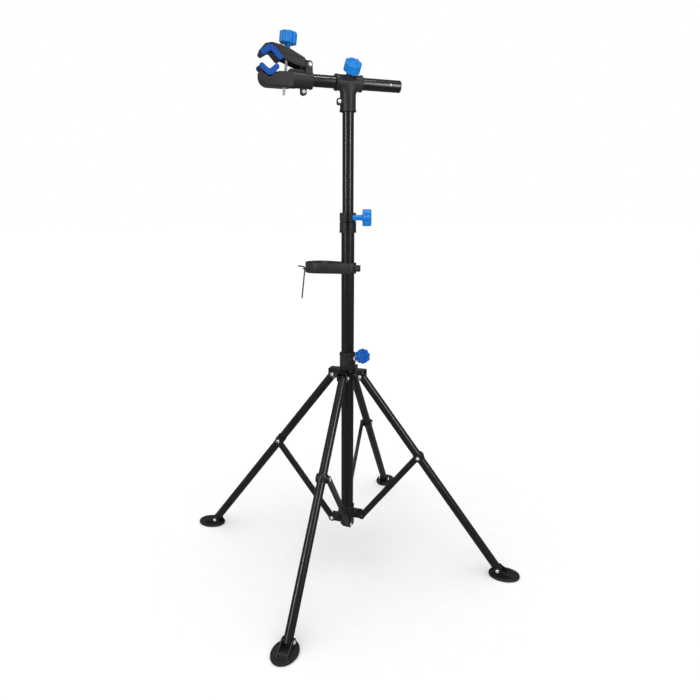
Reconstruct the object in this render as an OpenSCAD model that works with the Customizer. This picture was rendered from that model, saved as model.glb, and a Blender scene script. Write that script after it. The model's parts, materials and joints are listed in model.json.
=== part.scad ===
// Folding four-legged work stand: a two-part telescopic column on hinged legs,
// a tool tray, and a tee head that carries a sliding arm with a clamp.
// +Z is up, the origin is on the floor under the column, the arm lies along X.

/* [Column and mast] */
// Outside diameter of the lower column tube
column_d = 38; // [34:0.5:46]
// Wall of the lower column tube
column_wall = 2; // [1.5:0.1:3]
// Height of the top of the lower column tube
column_top = 1043; // [860:1:1260]
// Outside diameter of the mast and of the arm tube
mast_d = 32; // [26:0.5:33.5]
// Wall of the mast and of the arm tube
mast_wall = 1.5; // [1.2:0.1:2.5]
// Length of mast hidden in the column and the collar
mast_inside = 600; // [450:1:700]

/* [Legs] */
// Length of a leg from its top pivot to its foot bolt
leg_length = 718; // [590:1:870]
// Angle of an open leg from the vertical
leg_angle = 37.5; // [30:0.5:42]
// Outside diameter of a leg tube
leg_d = 25; // [20:0.5:30]
// Wall of a leg tube
leg_wall = 1.5; // [1.2:0.1:2.5]
// Distance of the pivots from the surface of the column
pivot_out = 25; // [24:0.5:40]
// Height of the pivots at the foot of the column
low_z = 110.5; // [90:0.5:140]
// Depth of a brace in the plane of its leg
brace_depth = 19; // [14:0.5:22]
// Thickness of a brace
brace_thick = 8; // [6:0.5:10]
// Diameter of the pivot bolts
bolt_d = 6; // [5:0.5:8]

/* [Feet] */
// Length of a foot plate
foot_len = 92; // [76:1:112]
// Width of a foot plate
foot_width = 70; // [58:1:76]
// Thickness of a foot plate
foot_plate = 4.5; // [3:0.5:6]
// Height of the foot bolt above the floor
foot_bolt_z = 20; // [19.5:0.5:30]
// Length of foot plate behind the bolt
foot_heel = 26; // [20:1:28]

/* [Head and arm] */
// Height of the arm axis
arm_z = 1412; // [1200:1:1700]
// Outside diameter of the barrels of the tee
tee_d = 43; // [40:0.5:52]
// Length of the level barrel of the tee
tee_len = 76; // [60:1:100]
// Length of the upright barrel below the arm axis
tee_drop = 74; // [60:1:100]
// Reach of the plain end of the arm from the column axis
arm_reach = 152; // [120:1:190]
// Distance of the clamp socket from the column axis
socket_x = 105; // [100:1:140]

/* [Clamp] */
// Length of the clamp socket
socket_len = 58; // [48:1:70]
// Outside diameter of the clamp socket
socket_d = 42; // [40:0.5:50]
// Width of both jaws
jaw_w = 44; // [40:1:56]
// Wall of the upper jaw
jaw_wall = 4; // [3:0.5:5]
// Thickness of the soft jaw pads
pad_t = 11; // [8:0.5:12]
// Diameter of the clamp screw
screw_d = 8; // [6:0.5:8]

/* [Tray] */
// Distance from the top of the column down to the underside of the tray
tray_drop = 146; // [100:1:200]
// Height of the tray band
tray_h = 30; // [24:1:40]
// Width of the tray
tray_w = 88; // [70:1:108]
// Reach of the tray from the column axis
tray_reach = 131; // [110:1:150]

/* [Knobs] */
// Diameter of the large knobs
knob_d = 47; // [39:1:56]
// Thickness of the large knobs
knob_h = 25; // [18:1:30]
// Diameter of the knob studs
stud_d = 8; // [6:0.5:8]

/* [Hidden] */
$fn = 64;

// clearances
run = 0.05;      // radial clearance of a turning or sliding fit
side = 0.4;      // gap between flat faces that pass each other
free = 0.3;      // gap in front of a stud tip
slot_play = 1;   // play of the clamp screw in its slots
cut = 1;         // extra length of a cutting tool
through = 80;    // a cutting tool longer than anything it goes through

// bolts: a large one at each pivot, a small one in each split clamp
bolt_r = bolt_d / 2;
pinch_r = bolt_r - 0.5;
head_rim = 2.2;                    // how far a bolt head stands over its shank
head_h = 3.4;
ear_gap = 3;                       // slit of each split clamp
ear_t = 5;                         // one pinch ear
ear_h = 18;                        // height of the pinch ears
ear_out = ear_gap / 2 + ear_t;     // outer face of a pinch ear

// legs stand square to each other, turned from the arm
front_az = -127.3;
leg_az = [front_az, front_az + 90, front_az + 180, front_az + 270];
column_r = column_d / 2;
leg_r = leg_d / 2;
pivot_r = column_r + pivot_out;
top_z = foot_bolt_z + leg_length * cos(leg_angle);
brace_length = (top_z - low_z) / (2 * cos(leg_angle));
leg_top = 8;                       // tube above its pivot
leg_end = 5;                       // tube below its foot bolt
plate = 2.4;                       // steel of the hub and of the leg brackets
low_plate = 2;                     // steel of the lower hub's cheeks
cheek_in = leg_r + 0.7;            // inner face of a hub cheek
cheek_out = cheek_in + plate;
strap_t = 2;                       // strap of a leg bracket
strap_h = 22;
strap_gap = 0.2;                   // a bracket's flat cheeks stand off the tube
bracket_r = bolt_r + 10;
joint_out = leg_r + strap_gap + plate;       // outer face of a leg bracket
brace_in = joint_out + side;                 // inner face of a brace
brace_out = brace_in + brace_thick;
brace_wall = 1.6;
brace_end = 16;                    // solid end of a brace beyond its pivot
foot_rim = 2.6;                    // height of the rim round a foot plate
foot_rim_w = 3;
foot_cheek_t = 3.2;
foot_cheek_r = bolt_r + 6;

// sliding hub
sleeve_r = column_r + 4.7;
sleeve_h = 55;
hub_room = 1.65;                   // above the end of an open leg
hub_rise = leg_top * cos(leg_angle) + leg_r * sin(leg_angle) + hub_room + plate;
hub_seat = hub_rise - 4;           // foot of the sleeve above the pivots
hub_skirt = 9;                     // ring below the pivots
hub_flange = 9;                    // width of the flange round the sleeve
hub_ear_r = bolt_r + 9.5;
hub_ear_drop = 11;                 // foot of a hub cheek below its pivot
hub_root = sqrt(pow(sleeve_r, 2) - pow(cheek_out, 2)) - 1;
sleeve_z = top_z + hub_seat;
hub_knob_az = -71.5;
hub_knob_tilt = 24;
hub_knob_z = 34;                   // knob axis above the foot of the sleeve
hub_boss_r = 9;
hub_boss = 20;                     // boss from the column's surface
hub_stem = 28;                     // stem of the hub knob
hub_knob_d = knob_d - 4;
hub_knob_h = knob_h - 5;

// lower hub
low_sleeve_r = column_r + 3;
low_sleeve_h = 66;
low_below = 22;                    // its foot below the pivots
low_rise = 20;                     // its flange above the pivots
low_flange = 8;
low_ear_drop = 8;
low_root = sqrt(pow(low_sleeve_r, 2) - pow(joint_out, 2)) - 1;
low_cheek_in = brace_in - side - low_plate;
low_cheek_out = brace_out + side;
plug_h = 14;                       // plug inside the column
plug_cap = 3;
column_bottom = low_z - low_below - 2;
bore_r = column_r - column_wall;

// collar at the top of the column
collar_r = column_r + 4.8;
collar_seat = 30;                  // length of collar on the column
collar_h = 56;
collar_z = column_top - collar_seat;
collar_az = -19.5;                 // the collar knob points this way
boss_w = 26;                       // the two front bosses together
boss_d = 22;
boss_h = 22;
boss_drop = 2;                     // top of the bosses below the top of the collar
boss_front = 8;                    // bosses in front of the screw
slit_t = 1.6;                      // level slit under the pinched half
collar_screw_y = collar_r + 3.6;   // screw in front of the column axis
collar_screw_z = collar_z + collar_h - boss_drop - boss_h / 2;
collar_stem = 28;
knob_stem_d = 15;

// mast, tee and arm
mast_r = mast_d / 2;
mast_bore = mast_r - mast_wall;
tee_floor = 8;                     // between the bores of the two barrels
mast_top = arm_z - mast_r - tee_floor - 1;
mast_bottom = collar_z + collar_h - mast_inside;
glide_h = 40;
glide_cap = 4;
glide_wall = 3;
tee_r = tee_d / 2;
upright_r = tee_r + 0.4;
tee_knob_tilt = 45;
tee_boss_r = 11;
tee_boss = 6;                      // height of the knob boss on the barrel
tee_stem = 9;
tee_ear_len = 17;
tee_ear_root = 6;                  // length of the ears inside the barrel
pinch_z = arm_z - 48;              // pinch bolt of the tee
pinch_out = 6;                     // pinch bolts outside their barrels
cap_t = 2;
cap_plug = 16;
rivet_in = 33;                     // rivet from the end of the arm
rivet_r = 3;
rivet_shank_r = 2;
rivet_h = 2.2;

// clamp, in arm coordinates: x along the arm, z from the arm axis
socket_r = socket_d / 2;
socket_end = -socket_x - socket_len;
socket_back = 6;                   // blind end of the socket
socket_pinch_x = -socket_x - 21.5;
socket_pinch_z = -socket_r - 9;
socket_ear = 17;                   // width and drop of the socket's ears
rib_w = 27;                        // flat rib on top of the socket
rib_foot = 8;
rib_z = socket_r + 2;
pivot_x = -socket_x - 7;
pivot_z = rib_z + 12;
cheek_y = 14.5;                    // inner faces of the hinge cheeks
cheek_t = 5;
cheek_r = bolt_r + 6;
cheek_back = 11;                   // cheek behind and in front of the hinge bolt
cheek_front = 7;
tongue_w = 2 * (cheek_y - side);
tongue_r = bolt_r + 7;
nut_x = socket_end - 13;
nut_z = -4;
nut_r = screw_d;
nut_len = 30;
screw_r = screw_d / 2;
screw_lean = 6.2;
screw_tail = 38;                   // screw below the middle of its nut
saddle_up = 74;                    // saddle centre above the nut along the screw
saddle_r = 8;
saddle_top = 3;                    // flat top of the saddle above its centre
saddle_room = 1.2;
saddle_x = nut_x + saddle_up * sin(screw_lean);
saddle_z = nut_z + saddle_up * cos(screw_lean);
screw_knob_d = knob_d - 1;
screw_knob_h = knob_h + 3;
screw_stem = 11;
jaw_under = 23;                    // underside of the lower jaw
jaw_flat = 14;                     // its flat top
jaw_lip = 12;                      // its top beside the vee
jaw_step = 26;                     // the vee's seat ends this far behind the vee
vee_angle = 40;                    // slope of the sides of each vee
vee_side = 60;                     // longer than the sides of either vee
pad_arm = 24;                      // length of a pad's arm
pad_proud = 1;                     // a pad stands out at each side of its jaw
low_vee_x = -socket_x - 116;       // bottom of the lower vee
low_vee_z = 1;
up_vee_x = -socket_x - 109;        // top of the upper vee
up_vee_z = pivot_z + 40;
up_turn = 7;                       // the upper vee is turned this far
up_pad_extra = 7;                  // the upper pad's longer arm
jaw_back = 13;                     // back of the upper jaw behind the hinge

// tray
tray_az = 140.5;
tray_z = column_top - tray_drop;
tray_ring_r = column_r + 6;
tray_wall = 2.5;
tray_ear = 12;                     // ears behind the clamp ring
divider_x = 66;
divider_t = 2.4;
divider_drop = 4;                  // top of the divider below the rim
hole_pitch = 24;                   // drain holes
hole_r = 5;
hole_x = divider_x + 16;
tab_z = 9;                         // top of the eye for the hex key
tab_t = 3;
tab_r = 7;
tab_len = 8.5;                     // keeps the lifted key clear of the tray's rim
key_r = 2.25;
key_foot_r = key_r * 0.8;
key_long = 96;
key_short = 22;
key_bend = 6;
key_lean = 7;
key_rise = 1.6;                    // its bend keeps the short arm above the eye
key_x = tray_reach - tab_t + tab_len;

// ---------------------------------------------------------------- helpers
module tube(r, wall, h) {
  difference() {
    cylinder(r = r, h = h);
    translate([0, 0, -cut]) cylinder(r = r - wall, h = h + 2 * cut);
  }
}

// a disc across the plane of a leg, from y0 to y1
module cross_disc(r, y0, y1) {
  translate([0, y1, 0]) rotate([90, 0, 0]) cylinder(r = r, h = y1 - y0);
}

// domed head of a bolt of radius r lying along y, seated at y; dir is its outer side
module bolt_head(r, y, dir) {
  head_r = r + head_rim;
  translate([0, y, 0]) rotate([-90 * dir, 0, 0]) {
    cylinder(r = head_r, h = head_h / 2);
    translate([0, 0, head_h / 2]) cylinder(r1 = head_r, r2 = head_r * 0.62, h = head_h / 2);
  }
}

// through bolt along y with a head at one end and a nut at the other
module through_bolt(r, y0, y1) {
  cross_disc(r, y0, y1);
  bolt_head(r, y0, -1);
  bolt_head(r, y1, 1);
}

// local frame of leg i: x outwards, y sideways, z up
module at_leg(i) { rotate([0, 0, leg_az[i]]) children(); }
module at_hub_pivot(i) { at_leg(i) translate([pivot_r, 0, top_z]) children(); }
module at_low_hub(i) { at_leg(i) translate([pivot_r, 0, low_z]) children(); }
module at_top_pivot(i) { at_hub_pivot(i) rotate([0, -leg_angle, 0]) children(); }
module at_mid_pivot(i) { at_top_pivot(i) translate([0, 0, -brace_length]) children(); }
module at_low_pivot(i) { at_low_hub(i) rotate([0, leg_angle, 0]) children(); }
module at_foot(i) {
  at_leg(i) translate([pivot_r + leg_length * sin(leg_angle), 0, 0]) children();
}

// lobed hand knob: the stem starts at z = 0 and the head ends at stem + h
module knob(d, h, stem, stem_d, bore_r) {
  lobes = 8;
  lobe_r = d * 0.11;
  difference() {
    union() {
      cylinder(r = stem_d / 2, h = stem + h / 2);
      translate([0, 0, stem]) linear_extrude(h) union() {
        circle(r = d / 2 - lobe_r * 1.2);
        for (k = [0 : lobes - 1])
          rotate(k * 360 / lobes) translate([d / 2 - lobe_r, 0]) circle(r = lobe_r);
      }
    }
    translate([0, 0, -cut]) cylinder(r = bore_r, h = stem + h * 0.6 + cut);
  }
}

// ---------------------------------------------------------------- column
module column_tube() {
  color([0.05, 0.05, 0.06]) translate([0, 0, column_bottom])
    tube(column_r, column_wall, column_top - column_bottom);
}

module column_plug() {
  color([0.1, 0.1, 0.11]) translate([0, 0, column_bottom]) {
    cylinder(r = bore_r, h = plug_h);
    translate([0, 0, -plug_cap]) cylinder(r = column_r, h = plug_cap);
  }
}

module low_cheek() {
  difference() {
    union() {
      cross_disc(brace_depth / 2 + 1, 0, low_plate);
      translate([low_root - pivot_r, 0, -low_ear_drop])
        cube([pivot_r - low_root, low_plate, low_ear_drop + low_rise]);
    }
    cross_disc(bolt_r, -cut, low_plate + cut);
  }
}

// sleeve round the foot of the column with four channels for the braces
module lower_hub() {
  color([0.07, 0.07, 0.08]) difference() {
    union() {
      translate([0, 0, low_z - low_below]) cylinder(r = low_sleeve_r, h = low_sleeve_h);
      translate([0, 0, low_z + low_rise - plate]) cylinder(r = low_sleeve_r + low_flange, h = plate);
      for (i = [0 : 3]) at_low_hub(i) {
        translate([0, low_cheek_in, 0]) low_cheek();
        translate([0, low_cheek_out, 0]) low_cheek();
        translate([low_root - pivot_r, low_cheek_in, low_rise - plate])
          cube([pivot_r - low_root - brace_depth / 2 - 2 * side,
            low_cheek_out + low_plate - low_cheek_in, plate]);
      }
    }
    translate([0, 0, column_bottom - cut]) cylinder(r = column_r, h = through);
  }
}

// one headed bolt in each channel, flush inside, where the folded leg passes
module brace_pivot_bolts() {
  color([0.8, 0.8, 0.82]) for (i = [0 : 3]) at_low_hub(i) {
    cross_disc(bolt_r, low_cheek_in, low_cheek_out + low_plate);
    bolt_head(bolt_r, low_cheek_out + low_plate, 1);
  }
}

// split collar: the upper half pinches the mast through two front bosses
module mast_collar() {
  slit_z = collar_h - boss_drop - boss_h - slit_t;
  front = collar_screw_y + boss_front;
  color([0.13, 0.13, 0.14]) rotate([0, 0, collar_az]) translate([0, 0, collar_z]) difference() {
    union() {
      cylinder(r = collar_r, h = collar_h);
      translate([-boss_w / 2, -front, slit_z + slit_t]) cube([boss_w, boss_d, boss_h]);
    }
    translate([0, 0, -cut]) cylinder(r = column_r, h = collar_seat + cut);
    cylinder(r = mast_r + run, h = collar_h + cut);
    translate([-ear_gap / 2, -front - cut, slit_z]) cube([ear_gap, front + cut, collar_h]);
    translate([-collar_r, -front - cut, slit_z]) cube([2 * collar_r, front + mast_r * 0.6, slit_t]);
    translate([-boss_w, -collar_screw_y, collar_screw_z - collar_z]) rotate([0, 90, 0])
      cylinder(r = stud_d / 2 + run, h = 2 * boss_w);
  }
}

module at_collar_knob() {
  rotate([0, 0, collar_az]) translate([0, -collar_screw_y, collar_screw_z])
    rotate([0, 90, 0]) children();
}
module collar_knob() {
  color([0.0, 0.5, 0.95]) at_collar_knob() translate([0, 0, boss_w / 2 + side])
    knob(knob_d, knob_h, collar_stem - side, knob_stem_d, stud_d / 2);
}
module collar_stud() {
  tail = boss_w / 2 + 3;
  color([0.8, 0.8, 0.82]) at_collar_knob() translate([0, 0, -tail])
    cylinder(r = stud_d / 2, h = tail + boss_w / 2 + collar_stem + knob_h / 2);
}

// ---------------------------------------------------------------- hub
module at_hub_knob() {
  rotate([0, 0, hub_knob_az]) translate([column_r, 0, sleeve_z + hub_knob_z])
    rotate([0, 90 - hub_knob_tilt, 0]) children();
}

module hub_sleeve() {
  color([0.12, 0.12, 0.13]) difference() {
    union() {
      translate([0, 0, sleeve_z]) cylinder(r = sleeve_r, h = sleeve_h);
      at_hub_knob() cylinder(r = hub_boss_r, h = hub_boss);
    }
    translate([0, 0, sleeve_z - cut]) cylinder(r = column_r + run, h = sleeve_h + 2 * cut);
    at_hub_knob() translate([0, 0, -hub_boss]) cylinder(r = stud_d / 2 + run, h = through);
  }
}

module hub_cheek() {
  difference() {
    union() {
      cross_disc(hub_ear_r, 0, plate);
      translate([hub_root - pivot_r, 0, -hub_ear_drop])
        cube([pivot_r - hub_root, plate, hub_ear_drop + hub_rise]);
      cube([hub_ear_r, plate, hub_rise]);
    }
    cross_disc(bolt_r, -cut, plate + cut);
  }
}

// ring under the sleeve with four channels for the legs
module hub_spider() {
  color([0.06, 0.06, 0.07]) difference() {
    union() {
      translate([0, 0, top_z + hub_rise - plate]) cylinder(r = sleeve_r + hub_flange, h = plate);
      translate([0, 0, top_z - hub_skirt]) cylinder(r = sleeve_r, h = hub_seat + hub_skirt);
      for (i = [0 : 3]) at_hub_pivot(i) {
        translate([0, cheek_in, 0]) hub_cheek();
        translate([0, -cheek_out, 0]) hub_cheek();
        translate([sleeve_r - pivot_r, -cheek_out, hub_rise - plate])
          cube([pivot_r - sleeve_r + hub_ear_r, 2 * cheek_out, plate]);
      }
    }
    translate([0, 0, top_z - hub_ear_drop - cut])
      cylinder(r = column_r + run, h = hub_ear_drop + hub_seat + 2 * cut);
    translate([0, 0, sleeve_z]) cylinder(r = sleeve_r, h = hub_rise);
  }
}

module leg_pivot_bolts() {
  color([0.8, 0.8, 0.82]) for (i = [0 : 3]) at_hub_pivot(i)
    through_bolt(bolt_r, -cheek_out, cheek_out);
}

module hub_knob() {
  color([0.0, 0.35, 0.85]) at_hub_knob() translate([0, 0, hub_boss + side])
    knob(hub_knob_d, hub_knob_h, hub_stem - side, knob_stem_d - 2, stud_d / 2);
}
module hub_stud() {
  // the tip of the tilted stud just clears the round of the column
  tip = column_r * (1 / cos(hub_knob_tilt) - 1) + 10 * free;
  color([0.8, 0.8, 0.82]) at_hub_knob() translate([0, 0, tip])
    cylinder(r = stud_d / 2, h = hub_boss + hub_stem + hub_knob_h / 2 - tip);
}

// ---------------------------------------------------------------- legs
module leg_tube(i) {
  color([0.05, 0.05, 0.06]) at_top_pivot(i) difference() {
    translate([0, 0, -leg_length - leg_end]) tube(leg_r, leg_wall, leg_length + leg_end + leg_top);
    cross_disc(bolt_r + run, -leg_d, leg_d);
    translate([0, 0, -brace_length]) cross_disc(bolt_r, -leg_d, leg_d);
    translate([0, 0, -leg_length]) cross_disc(bolt_r + run, -leg_d, leg_d);
  }
}

// saddle round the leg with two round cheeks
module leg_bracket(i) {
  flat_y = leg_r + strap_gap;
  color([0.09, 0.09, 0.1]) at_mid_pivot(i) difference() {
    union() {
      translate([0, 0, -strap_h / 2]) cylinder(r = leg_r + strap_t, h = strap_h);
      cross_disc(bracket_r, -joint_out, joint_out);
    }
    translate([0, 0, -strap_h]) cylinder(r = leg_r, h = 2 * strap_h);
    for (end = [-1, 1]) translate([0, 0, end * strap_h])
      cube([3 * leg_d, 2 * flat_y, strap_h], center = true);
    for (face = [-1, 1]) translate([face * (leg_r + strap_t + leg_d / 2), 0, 0])
      cube([leg_d, 2 * flat_y, 2 * strap_h], center = true);
    cross_disc(bolt_r, -joint_out - cut, joint_out + cut);
  }
}

// the leg's half of the joint bolt ends flush, so that the brace can pass it
module joint_bolt(i) {
  color([0.8, 0.8, 0.82]) at_mid_pivot(i) {
    cross_disc(bolt_r, -joint_out, joint_out);
    bolt_head(bolt_r, -joint_out, -1);
  }
}

// flat tube with round ends; its half of the joint bolt is solid with it
module brace(i) {
  w = brace_depth / 2;
  color([0.06, 0.06, 0.07]) at_low_pivot(i) difference() {
    union() {
      cross_disc(w, brace_in, brace_out);
      translate([-w, brace_in, 0]) cube([2 * w, brace_thick, brace_length]);
      translate([0, 0, brace_length]) {
        cross_disc(w, brace_in, brace_out);
        bolt_head(bolt_r, brace_out, 1);
      }
    }
    translate([-w + brace_wall, brace_in + brace_wall, brace_end])
      cube([2 * (w - brace_wall), brace_thick - 2 * brace_wall, brace_length - 2 * brace_end]);
    cross_disc(bolt_r + run, brace_in - cut, brace_out + cut);
  }
}

// ---------------------------------------------------------------- feet
module foot_outline(inset) {
  translate([foot_len / 2 - foot_heel, 0]) scale([1, foot_width / foot_len])
    circle(r = foot_len / 2 - inset, $fn = 72);
}

// upright cheek beside the leg, its ends sloping down to the plate
module foot_cheek() {
  top = foot_bolt_z + foot_cheek_r - 2;
  toe = foot_len - foot_heel - 20;
  heel = foot_heel - 6;
  difference() {
    rotate([90, 0, 0]) linear_extrude(foot_cheek_t) union() {
      polygon([[-heel, 0], [toe, 0], [toe, foot_plate + 1], [foot_cheek_r - 1, top],
        [2 - foot_cheek_r, top], [-heel, foot_plate + 3]]);
      translate([0, foot_bolt_z]) circle(r = foot_cheek_r);
    }
    translate([0, 0, foot_bolt_z]) cross_disc(bolt_r, -foot_cheek_t - cut, cut);
  }
}

module foot(i) {
  inner = leg_r + side;
  color([0.11, 0.11, 0.12]) at_foot(i) {
    difference() {
      linear_extrude(foot_plate + foot_rim) foot_outline(0);
      translate([0, 0, foot_plate]) linear_extrude(foot_rim + cut) foot_outline(foot_rim_w);
    }
    translate([0, inner + foot_cheek_t, 0]) foot_cheek();
    translate([0, -inner, 0]) foot_cheek();
  }
}

module foot_bolt(i) {
  outer = leg_r + side + foot_cheek_t;
  color([0.8, 0.8, 0.82]) at_foot(i) translate([0, 0, foot_bolt_z])
    through_bolt(bolt_r, -outer, outer);
}

// ---------------------------------------------------------------- mast
module mast_tube() {
  color([0.05, 0.05, 0.06]) translate([0, 0, mast_bottom])
    tube(mast_r, mast_wall, mast_top - mast_bottom);
}

module mast_glide() {
  color([0.85, 0.85, 0.82]) translate([0, 0, mast_bottom]) difference() {
    union() {
      translate([0, 0, -glide_cap]) cylinder(r = bore_r - run, h = glide_cap);
      cylinder(r = mast_bore, h = glide_h);
    }
    translate([0, 0, -glide_cap - cut]) cylinder(r = mast_bore - glide_wall, h = through);
  }
}

// ---------------------------------------------------------------- tee
module at_tee_knob() { translate([0, 0, arm_z]) rotate([tee_knob_tilt, 0, 0]) children(); }
module at_tee_pinch() { translate([-tee_r - pinch_out, 0, pinch_z]) children(); }

module tee() {
  bore_h = tee_drop - mast_r - tee_floor;
  color([0.14, 0.14, 0.15]) difference() {
    union() {
      translate([-tee_len / 2, 0, arm_z]) rotate([0, 90, 0]) cylinder(r = tee_r, h = tee_len);
      translate([0, 0, arm_z - tee_drop]) cylinder(r = upright_r, h = tee_drop);
      at_tee_knob() cylinder(r = tee_boss_r, h = tee_r + tee_boss);
      translate([-tee_r - tee_ear_len + tee_ear_root, -ear_out, pinch_z - ear_h / 2])
        cube([tee_ear_len, 2 * ear_out, ear_h]);
    }
    translate([-tee_len / 2 - cut, 0, arm_z]) rotate([0, 90, 0])
      cylinder(r = mast_r + run, h = tee_len + 2 * cut);
    translate([0, 0, arm_z - tee_drop - cut]) cylinder(r = mast_r + run, h = bore_h + cut);
    translate([-tee_r - tee_ear_len, -ear_gap / 2, arm_z - tee_drop - cut])
      cube([tee_r + tee_ear_len, ear_gap, bore_h]);
    at_tee_pinch() cross_disc(pinch_r, -ear_out - cut, ear_out + cut);
    at_tee_knob() cylinder(r = stud_d / 2 + run, h = tee_r + tee_boss + cut);
  }
}

module tee_pinch_bolt() {
  color([0.8, 0.8, 0.82]) at_tee_pinch() through_bolt(pinch_r, -ear_out, ear_out);
}

module tee_knob() {
  color([0.0, 0.5, 0.95]) at_tee_knob() translate([0, 0, tee_r + tee_boss + side])
    knob(knob_d, knob_h, tee_stem - side, knob_stem_d, stud_d / 2);
}
module tee_stud() {
  tip = mast_r + free;
  color([0.8, 0.8, 0.82]) at_tee_knob() translate([0, 0, tip])
    cylinder(r = stud_d / 2, h = tee_r + tee_boss + tee_stem + knob_h / 2 - tip);
}

// ---------------------------------------------------------------- arm
module arm_tube() {
  start = socket_end + socket_back + side;
  color([0.05, 0.05, 0.06]) difference() {
    translate([start, 0, arm_z]) rotate([0, 90, 0])
      tube(mast_r, mast_wall, arm_reach - cap_t - start);
    at_rivet() cylinder(r = rivet_shank_r, h = mast_r + cut);
  }
}

module arm_cap() {
  color([0.1, 0.1, 0.11]) translate([arm_reach - cap_t, 0, arm_z]) rotate([0, 90, 0]) {
    translate([0, 0, -cap_plug]) cylinder(r = mast_bore, h = cap_plug);
    cylinder(r = mast_r, h = cap_t);
  }
}

module at_rivet() {
  translate([arm_reach - rivet_in, 0, arm_z]) rotate([90, 0, 0]) children();
}

module arm_rivet() {
  color([0.8, 0.8, 0.82]) at_rivet() {
    translate([0, 0, mast_bore]) cylinder(r = rivet_shank_r, h = mast_r - mast_bore + side);
    translate([0, 0, mast_r]) cylinder(r1 = rivet_r, r2 = rivet_r / 2, h = rivet_h);
  }
}

// ---------------------------------------------------------------- clamp
module at_arm() { translate([0, 0, arm_z]) children(); }
module at_jaw_hinge() { at_arm() translate([pivot_x, 0, pivot_z]) children(); }
module at_socket_pinch() { at_arm() translate([socket_pinch_x, 0, socket_pinch_z]) children(); }
// frame of the clamp screw: z along the screw, from the middle of its nut
module at_screw() { at_arm() translate([nut_x, 0, nut_z]) rotate([0, screw_lean, 0]) children(); }
// an outline drawn as x, z and extruded along y from -w/2 to w/2
module slab(w) { translate([0, w / 2, 0]) rotate([90, 0, 0]) linear_extrude(w) children(); }

// side of the lower jaw: a flat top, a round tip and the seat of the vee
module lower_outline() {
  difference() {
    union() {
      translate([low_vee_x, -jaw_under])
        square([socket_end + 4 - low_vee_x, jaw_under + jaw_flat]);
      translate([low_vee_x, low_vee_z]) circle(r = jaw_under + low_vee_z);
    }
    translate([low_vee_x, low_vee_z]) vee_cut();
    translate([low_vee_x - vee_side, jaw_lip]) square([vee_side + jaw_step, vee_side]);
  }
}

// lower jaw with its socket, hinge cheeks, screw slot and pinch ears
module lower_jaw() {
  color([0.14, 0.14, 0.15]) difference() {
    union() {
      at_arm() {
        translate([-socket_x, 0, 0]) rotate([0, -90, 0]) cylinder(r = socket_r, h = socket_len);
        translate([socket_end, -rib_w / 2, rib_foot]) cube([socket_len, rib_w, rib_z - rib_foot]);
        slab(jaw_w) lower_outline();
      }
      for (y = [cheek_y, -cheek_y - cheek_t]) at_jaw_hinge() translate([0, y, 0]) {
        translate([-cheek_back, 0, -pivot_z + rib_foot + 2])
          cube([cheek_back + cheek_front, cheek_t, pivot_z - rib_foot - 2]);
        cross_disc(cheek_r, 0, cheek_t);
      }
      at_socket_pinch() translate([-socket_ear / 2, -ear_out, -pinch_out - 2])
        cube([socket_ear, 2 * ear_out, socket_ear + pinch_out - 1]);
    }
    at_arm() {
      translate([-socket_x + cut, 0, 0]) rotate([0, -90, 0])
        cylinder(r = mast_r + run, h = socket_len - socket_back + cut);
      translate([socket_end + socket_back, -ear_gap / 2, socket_pinch_z - ear_h])
        cube([socket_len - socket_back + cut, ear_gap, ear_h - socket_pinch_z]);
    }
    at_socket_pinch() cross_disc(pinch_r, -ear_out - cut, ear_out + cut);
    at_jaw_hinge() cross_disc(bolt_r, -through / 2, through / 2);
    at_arm() translate([nut_x, 0, nut_z]) cross_disc(nut_r + run, -nut_len / 2, nut_len / 2);
    at_screw() slab(screw_d + slot_play) low_slot();
  }
}

// room for the screw to swing fore and aft in the lower jaw
module low_slot() {
  w = screw_r + slot_play;
  neck = 3;
  down = jaw_under + 7;
  up = jaw_flat + 20;
  polygon([[-w, -neck], [-w - 8, -down], [w + 2, -down], [w, -neck], [w, neck], [w + 10, up],
    [-w - 3, up], [-w, neck]]);
}

// room for the screw to swing fore and aft in the upper jaw
module up_slot() {
  w = screw_r + slot_play;
  polygon([[-w, 0], [-w - 4, -40], [w + 14, -40], [w, 0], [w, 20], [-w, 20]]);
}

// the space above a vee whose sides rise at vee_angle
module vee_cut() {
  x = vee_side * cos(vee_angle);
  z = vee_side * sin(vee_angle);
  polygon([[0, 0], [x, z], [0, 2 * vee_side], [-x, z]]);
}

// section of a soft pad: a vee of even thickness with round lips
module pad_section(left_len, right_len) {
  inset = pad_t / 2 * tan(vee_angle);
  translate([0, pad_t / 2 / cos(vee_angle)]) {
    rotate(vee_angle) pad_side(inset, right_len);
    rotate(180 - vee_angle) pad_side(inset, left_len);
  }
}
module pad_side(inset, len) {
  translate([-inset, -pad_t / 2]) square([len + inset, pad_t]);
  translate([len, 0]) circle(r = pad_t / 2);
}

module lower_pad() {
  color([0.05, 0.2, 0.75]) at_arm() slab(jaw_w + 2 * pad_proud)
    translate([low_vee_x, low_vee_z]) pad_section(pad_arm, pad_arm);
}

module socket_pinch_bolt() {
  color([0.8, 0.8, 0.82]) at_socket_pinch() through_bolt(pinch_r, -ear_out, ear_out);
}

module jaw_pivot_bolt() {
  y = cheek_y + cheek_t;
  color([0.8, 0.8, 0.82]) at_jaw_hinge() through_bolt(bolt_r, -y, y);
}

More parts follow.
